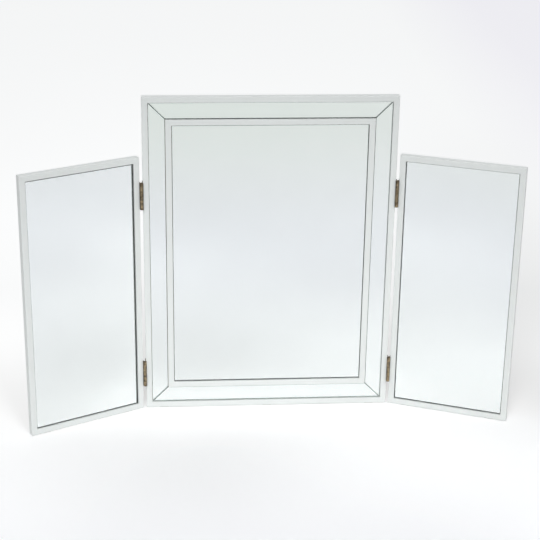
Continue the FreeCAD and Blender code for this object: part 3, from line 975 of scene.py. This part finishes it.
def screw_shape(bench, wires):
    """A countersunk screw with a cross recess: head's face at z = 0, tip downwards."""
    head, shank, length = wires["Head Radius"], wires["Shank Radius"], wires["Length"]
    head_height = head - shank
    profile = (
        (0.0, head), (-head_height, shank),
        (shank - length, shank), (-length, shank * TIP_SHARE),
    )
    heights, radii = zip(*profile)
    line = bench.add("GeometryNodeMeshLine", None, Count=len(profile))
    place = bench.add("ShaderNodeCombineXYZ", None, 0.0, 0.0, bench.by_index(*heights))
    line = bench.add("GeometryNodeSetPosition", None, Geometry=line, Position=place)
    spine = bench.add("GeometryNodeMeshToCurve", None, line)
    ring = bench.add(
        "GeometryNodeCurvePrimitiveCircle", None, Resolution=wires["Facets"], Radius=1.0
    )
    body = bench.add(
        "GeometryNodeCurveToMesh", None,
        Curve=spine, Profile_Curve=ring, Scale=bench.by_index(*radii), Fill_Caps=True,
    )
    depth = head_height * RECESS_DEPTH
    span = head * wires["Recess Span"] * 2.0
    width = head * wires["Recess Width"] * 2.0
    how = {"operation": "DIFFERENCE", "solver": "EXACT"}
    cut = bench.add("GeometryNodeMeshBoolean", how, body)
    for sides in ((span, width, depth), (width, span, depth)):
        size = bench.add("ShaderNodeCombineXYZ", None, *sides)
        bar = bench.add("GeometryNodeMeshCube", None, Size=size)
        bench.put(cut.socket.node.inputs["Mesh 2"], bar)
    spin = bench.add(
        "FunctionNodeRandomValue", {"data_type": "FLOAT"},
        Min=0.0, Max=math.pi / 2, Seed=wires["Spin Seed"],
    )
    return cut, spin


def unit(axis):
    """The unit vector along axis 0, 1 or 2."""
    return Vector(1.0 if i == axis else 0.0 for i in range(3))


def screw_places(panel, node):
    """[(head's place, turn)], head radius and whole length of a CAD node's screws."""
    places = []
    for island in panel.islands(node):
        low, high = spans(island)
        size = high - low
        axis = max(range(3), key=lambda i: size[i])
        middle = (low + high) / 2
        widest = max(island, key=lambda p: unit(axis).cross(p - middle).length)
        way = unit(axis) if widest[axis] > middle[axis] else -unit(axis)
        head = middle + way * size[axis] / 2
        radius = max(size[i] for i in range(3) if i != axis) / 2
        places.append((head, turn_of(way, unit((axis + 1) % 3))))
    return places, radius, size[axis]


HINGE_SHANK, BEAD_SHANK = 0.52, 0.5  # radius of a screw's shank, in radii of its head


def make_screws(panel, node, shank_share, material):
    """Makes all the screws of a CAD node as one piece."""
    settings = bpy.context.scene.mirror_fasteners
    places, radius, length = screw_places(panel, node)
    inputs = {
        "Head Radius": radius,
        "Shank Radius": radius * shank_share,
        "Length": length,
        "Recess Span": settings.recess_span,
        "Recess Width": settings.recess_width,
        "Facets": settings.facets,
        "Spin Seed": settings.spin_seed,
    }
    scatter(node + "_set", places, screw_shape, inputs, panel, node, material)


TAB_NOSE = 2.0 * MM  # length of a tab's point
TAB_STEPS = 5  # on each rounded corner of a tab


def tab_shape(bench, wires):
    """A pressed steel tab, its point towards +Y and its outer face up at z = 0."""
    width, length, nose = wires["Width"], wires["Length"], wires["Nose"]
    half, end, blunt = width * 0.5, length * 0.5, wires["Corner"] * 0.5
    shoulder = end - nose
    corners = (
        (-half, -end), (half, -end), (half, shoulder),
        (blunt, end), (-blunt, end), (-half, shoulder),
    )
    x, y = (bench.by_index(*values) for values in zip(*corners))
    ring = bench.add("GeometryNodeCurvePrimitiveCircle", None, Resolution=len(corners))
    place = bench.add("ShaderNodeCombineXYZ", None, x, y, 0.0)
    ring = bench.add("GeometryNodeSetPosition", None, Geometry=ring, Position=place)
    ring = bench.add(
        "GeometryNodeFilletCurve", {"mode": "POLY"},
        Curve=ring, Count=TAB_STEPS, Radius=wires["Corner"], Limit_Radius=True,
    )
    flat = bench.add("GeometryNodeFillCurve", {"mode": "NGONS"}, ring)
    return plate(bench, flat, wires["Thickness"]), None


def tab_places(panel, node):
    """[(place, turn)] and the size of the tabs of a CAD node, points outwards."""
    places = []
    for island in panel.islands(node):
        low, high = spans(island)
        middle = (low + high) / 2
        to_side = panel.width / 2 - abs(middle.x)
        to_end = panel.height / 2 - abs(middle.z - panel.height / 2)
        if to_side < to_end:
            toward = Vector((math.copysign(1.0, middle.x), 0.0, 0.0))
            size = (high.z - low.z, high.x - low.x, high.y - low.y)
        else:
            toward = Vector((0.0, 0.0, math.copysign(1.0, middle.z - panel.height / 2)))
            size = (high.x - low.x, high.z - low.z, high.y - low.y)
        place = Vector((middle.x, high.y, middle.z))
        places.append((place, turn_of(Vector((0.0, 1.0, 0.0)), toward)))
    return places, size


ROUND_END = 0.499  # radius of a pad's corners in its widths, just short of a half


def pad_shape(bench, wires):
    """A round-ended felt pad, its upper face at z = 0."""
    ring = bench.add(
        "GeometryNodeCurvePrimitiveQuadrilateral", {"mode": "RECTANGLE"},
        Width=wires["Length"], Height=wires["Width"],
    )
    ring = bench.add(
        "GeometryNodeFilletCurve", {"mode": "POLY"},
        Curve=ring, Count=wires["Steps"], Radius=wires["Width"] * ROUND_END, Limit_Radius=True,
    )
    flat = bench.add("GeometryNodeFillCurve", {"mode": "NGONS"}, ring)
    return plate(bench, flat, wires["Thickness"]), None


# ---------------------------- stage
def pool(x, y, middle, reach):
    """1 at the middle of a soft round patch, falling to 0 outside its reach."""
    across, back = (x - middle[0]) / reach[0], (y - middle[1]) / reach[1]
    return (-(across * across + back * back)).exponential()


def seen_by_eye(bench):
    """1 for rays that look at a thing, straight, in a mirror or through glass."""
    path = bench.add("ShaderNodeLightPath")
    looks = ("Is Camera Ray", "Is Glossy Ray", "Is Transmission Ray")
    first, second, third = (path.output(look) for look in looks)
    return (first + second + third).clipped()


# Light, or shade where it is below 0, that the mirror and the room throw on the floor:
# the middle of each soft patch, its reach and its strength.
THROWN_LIGHT = (
    ((-0.10, -0.05), (0.30, 0.07), 0.11),  # along the centre's foot
    ((-0.12, -0.22), (0.18, 0.18), -0.07),  # before the centre
    ((0.38, -0.22), (0.30, 0.25), 0.07),  # before the right wing
    ((-0.45, -0.40), (0.12, 0.20), 0.04),  # before the left wing
    ((0.55, 0.00), (0.12, 0.15), -0.12),  # past the right wing
    ((-0.50, 0.30), (0.20, 0.20), 0.06),  # behind the left wing
    ((-0.20, -0.72), (0.20, 0.20), 0.05),  # further out on the left
    ((0.25, -0.60), (0.15, 0.20), -0.04),  # further out on the right
    ((0.50, -0.50), (0.15, 0.15), 0.06),  # and beside that
    ((0.80, -1.05), (0.30, 0.25), -0.035),  # far out on the right
)
LAMPS_POOL = ((-0.05, -0.80), (0.80, 0.90))  # middle and reach, as above
WING_SHADE = ((0.68, 0.45), (0.28, 0.90))
COOL_PATCH = ((0.0, -0.85), (1.5, 0.5))
GREEN_PATCH = ((-0.2, -2.1), (1.2, 0.6))
LILAC_START = (0.75, 0.8)  # painted lilac shade on the floor behind the right wing, from this x and y on
REAR_START, REAR_GLOW = 1.6, 0.045  # the y where the floor brightens, and by how much
FAR_START, FAR_END = 5.0, 11.0  # how far out the floor begins and ends to brighten
WARM_LOSS = 0.007  # of the red


def floor_finish(settings):
    """Lit floor, with a glow where it is looked at that evens out the lamps' pool."""
    bench = new_finish("studio_floor")
    place = bench.place()
    x, y, _ = bench.split(place)
    lamps = pool(x, y, *LAMPS_POOL)
    beside = pool(x, y, *WING_SHADE)
    rear = y.above(REAR_START, 0.5)
    glow = (
        settings.far_glow - lamps * settings.lamp_pool - beside * settings.side_shade
        + rear * REAR_GLOW
    )
    for middle, reach, strength in THROWN_LIGHT:
        glow = glow + pool(x, y, middle, reach) * strength
    distance = bench.add("ShaderNodeVectorMath", {"operation": "LENGTH"}, place)
    tints = (  # what each patch adds to the red, green and blue of the glow
        (pool(x, y, *COOL_PATCH), (0.0, 0.0, 0.03)),
        (pool(x, y, *GREEN_PATCH), (-0.025, 0.0, -0.03)),
        # painted lilac shade behind the right wing
        (x.above(LILAC_START[0], 2.5) * y.above(LILAC_START[1], 1.0), (-0.055, -0.067, -0.032)),
        (((distance - FAR_START) / (FAR_END - FAR_START)).clipped(), (0.079, 0.076, 0.084)),
    )
    channels = [glow - WARM_LOSS, glow, glow]
    for patch, tint in tints:
        for i, share in enumerate(tint):
            if share:
                channels[i] = channels[i] + patch * share
    glow = bench.add("ShaderNodeCombineColor", None, *channels)
    colour = bench.dimmed(bench.noise(place, 3.0), settings.floor, 0.99)
    plain = {"Base_Color": colour, "Roughness": 1.0, "Specular_IOR_Level": 0.0}
    lit = bench.add("ShaderNodeBsdfPrincipled", None, **plain)
    looked_at = bench.add(
        "ShaderNodeBsdfPrincipled", None, **plain, Emission_Color=glow, Emission_Strength=1.0
    )
    both = bench.add("ShaderNodeMixShader", None, seen_by_eye(bench), lit, looked_at)
    bench.add("ShaderNodeOutputMaterial", None, both)
    return bench.owner


def lay_floor(settings):
    """A round floor, whose rim is out of the camera's sight."""
    shape = bmesh.new()
    bmesh.ops.create_circle(shape, cap_ends=True, segments=96, radius=settings.floor_reach)
    mesh = bpy.data.meshes.new("floor")
    shape.to_mesh(mesh)
    shape.free()
    mesh.materials.append(floor_finish(settings))
    link("floor", mesh)


ROOM_TONE = (0.985, 0.99, 1.0, 1.0)
ROOM_LOOK = 0.93  # strength of the room where it is looked at


def light_room(scene, settings):
    """Even light from all around, and a white room to anything that looks at it."""
    scene.world = bpy.data.worlds.new("room")
    bench = emptied(scene.world)
    light = bench.add("ShaderNodeBackground", None, ROOM_TONE, settings.sky)
    look = bench.add("ShaderNodeBackground", None, ROOM_TONE, ROOM_LOOK)
    both = bench.add("ShaderNodeMixShader", None, seen_by_eye(bench), light, look)
    bench.add("ShaderNodeOutputWorld", None, both)


LAMPS = {  # each lamp's place, what it is aimed at and its side, in metres
    "key": ((-0.7, -2.7, 2.0), (0.0, -0.35, 0.0), 1.1),
    "fill": ((0.9, -2.6, 1.9), (0.0, -0.35, 0.0), 1.1),
    "back": ((0.0, 1.2, 2.6), (0.0, 1.2, 0.0), 2.4),
}


def hang_lamp(name, place, aim, side, power, beam):
    """A soft square lamp at place, its light kept within the angle beam around aim."""
    data = bpy.data.lights.new(name, "AREA")
    data.size = side
    data.energy = power
    data.spread = beam
    lamp = link(name, data)
    lamp.location = place
    lamp.rotation_euler = (Vector(aim) - lamp.location).to_track_quat("-Z", "Y").to_euler()


SENSOR = 36.0  # width, in the millimetres that Blender's cameras use


def set_camera(scene, settings):
    """The camera, from its place and from how far it looks down, leans and turns."""
    data = bpy.data.cameras.new("camera")
    data.sensor_width = SENSOR
    data.lens = settings.lens
    camera = link("camera", data)
    yaw = Matrix.Rotation(-settings.yaw, 4, "Z")
    pitch = Matrix.Rotation(math.pi / 2 - settings.pitch, 4, "X")
    roll = Matrix.Rotation(settings.roll, 4, "Z")
    camera.matrix_world = Matrix.Translation(settings.place) @ yaw @ pitch @ roll
    scene.camera = camera


# ---------------------------- operators
class MIRROR_OT_paint_frames(bpy.types.Operator):
    """Paints the frames of all three panels and the bead in the centre"""

    bl_idname = "mirror.paint_frames"
    bl_label = "Paint Frames and Bead"

    def execute(self, context):
        settings = context.scene.mirror_frame
        for panel in PANELS.values():
            for member, sides in MEMBERS.items():
                paint = painted_timber(panel, settings, member)
                nodes = panel.nodes("_" + member)
                if panel.body == CENTRE:
                    nodes += ["inner_bead_" + side for side in sides]
                for node in nodes:
                    put_on(node, paint)
        return {"FINISHED"}


class MIRROR_OT_glaze_panels(bpy.types.Operator):
    """Makes the silvered panes of the centre, its border and the wings"""

    bl_idname = "mirror.glaze_panels"
    bl_label = "Glaze Panels"

    def execute(self, context):
        settings = context.scene.mirror_glass
        clear = clear_glass(settings)
        backing = backing_paint(settings)
        ground = ground_glass("ground_arris", settings.ground, roughness=0.45)
        edge = ground_glass("cut_glass_edge", settings.edge, roughness=0.30)
        smooth = ground_glass("polished_arris", settings.polished, 0.15, settings.ground)
        bright = ground_glass(
            "polished_glass_edge", settings.polished_edge, 0.12, settings.edge
        )
        for body, panel in PANELS.items():
            mirror_pane(panel, body + "_mirror", settings, clear, ground, edge, backing)
        for side in (*MEMBERS["rail"], *MEMBERS["stile"]):
            strip = "border_mirror_" + side
            mirror_pane(PANELS[CENTRE], strip, settings, clear, smooth, bright, backing)
        return {"FINISHED"}


class MIRROR_OT_finish_hinges(bpy.types.Operator):
    """Gives the hinge leaves and pins their antique brass, and makes their screws"""

    bl_idname = "mirror.finish_hinges"
    bl_label = "Finish Hinges"

    def execute(self, context):
        settings = context.scene.mirror_brass
        brass = antique_brass(settings, "patinated_brass", settings.wear)
        worn = antique_brass(settings, "worn_brass", settings.wear + PIN_WEAR)
        for node in frame["nodes"]:
            if node.endswith("_leaf"):
                put_on(node, brass)
            if node.endswith("_pin"):
                put_on(node, worn)
        for body, panel in PANELS.items():
            node = body + "_hinge_screws"
            make_screws(panel, node, HINGE_SHANK, brass)
        return {"FINISHED"}


class MIRROR_OT_close_backs(bpy.types.Operator):
    """Finishes the backboards, their tabs, wedges and screws, and the foam tape"""

    bl_idname = "mirror.close_backs"
    bl_label = "Close Backs"

    def execute(self, context):
        settings = context.scene.mirror_back
        fasteners = context.scene.mirror_fasteners
        steel = zinc_plate(settings)
        tape = foam(settings)
        for body, panel in PANELS.items():
            put_on(body + "_backboard", hardboard(panel, settings))
            put_on(body + "_corner_wedges", steel)
            put_on(body + "_mounting_tape", tape)
            node = body + "_backboard_tabs"
            places, (width, length, thickness) = tab_places(panel, node)
            inputs = {
                "Width": width,
                "Length": length,
                "Nose": TAB_NOSE,
                "Corner": fasteners.tab_round,
                "Thickness": thickness,
            }
            scatter(node + "_set", places, tab_shape, inputs, panel, node, steel)
        make_screws(PANELS[CENTRE], "bead_screws", BEAD_SHANK, steel)
        return {"FINISHED"}


class MIRROR_OT_fit_pads(bpy.types.Operator):
    """Makes the felt pads that the three panels stand on"""

    bl_idname = "mirror.fit_pads"
    bl_label = "Fit Felt Pads"

    def execute(self, context):
        settings = context.scene.mirror_pads
        felt = pressed_felt(settings)
        for body, panel in PANELS.items():
            node = body + "_felt_pads"
            places = []
            for island in panel.islands(node):
                low, high = spans(island)
                size = high - low
                middle = Vector(((low.x + high.x) / 2, (low.y + high.y) / 2, high.z))
                places.append((middle, (0.0, 0.0, 0.0)))
            sides = zip(("Length", "Width", "Thickness"), size)
            inputs = {**dict(sides), "Steps": settings.steps}
            scatter(node + "_set", places, pad_shape, inputs, panel, node, felt)
        return {"FINISHED"}


class MIRROR_OT_set_stage(bpy.types.Operator):
    """Lays the floor and sets the lamps, the room's light and the camera"""

    bl_idname = "mirror.set_stage"
    bl_label = "Set Stage"

    def execute(self, context):
        scene = context.scene
        settings = scene.mirror_stage
        lay_floor(settings)
        light_room(scene, settings)
        for name, (place, aim, side) in LAMPS.items():
            beam = math.pi if name == "back" else settings.beam
            hang_lamp(name + "_lamp", place, aim, side, getattr(settings, name), beam)
        set_camera(scene, scene.mirror_camera)
        scene.view_settings.view_transform = "Standard"
        return {"FINISHED"}


# ---------------------------- panel and registry
OPERATORS = (
    MIRROR_OT_set_stage,
    MIRROR_OT_paint_frames,
    MIRROR_OT_glaze_panels,
    MIRROR_OT_finish_hinges,
    MIRROR_OT_close_backs,
    MIRROR_OT_fit_pads,
)


class MIRROR_PT_sidebar(bpy.types.Panel):
    """Lists the steps that dress the mirror, and their settings"""

    bl_idname = "MIRROR_PT_sidebar"
    bl_label = "Trifold Vanity Mirror"
    bl_space_type = "VIEW_3D"
    bl_region_type = "UI"
    bl_category = "Mirror"

    def draw(self, context):
        for operator in OPERATORS:
            self.layout.operator(operator.bl_idname)
        for name, group in SETTINGS.items():
            box = self.layout.box()
            for field in group.__annotations__:
                box.prop(getattr(context.scene, name), field)


def register():
    for cls in (*SETTINGS.values(), *OPERATORS, MIRROR_PT_sidebar):
        bpy.utils.register_class(cls)
    for name, group in SETTINGS.items():
        setattr(bpy.types.Scene, name, PointerProperty(type=group))


def unregister():
    for name in SETTINGS:
        delattr(bpy.types.Scene, name)
    for cls in reversed((*SETTINGS.values(), *OPERATORS, MIRROR_PT_sidebar)):
        bpy.utils.unregister_class(cls)


def main():
    """Runs every step in order."""
    register()
    for operator in OPERATORS:
        family, step = operator.bl_idname.split(".")
        getattr(getattr(bpy.ops, family), step)()


if __name__ == "__main__":
    main()
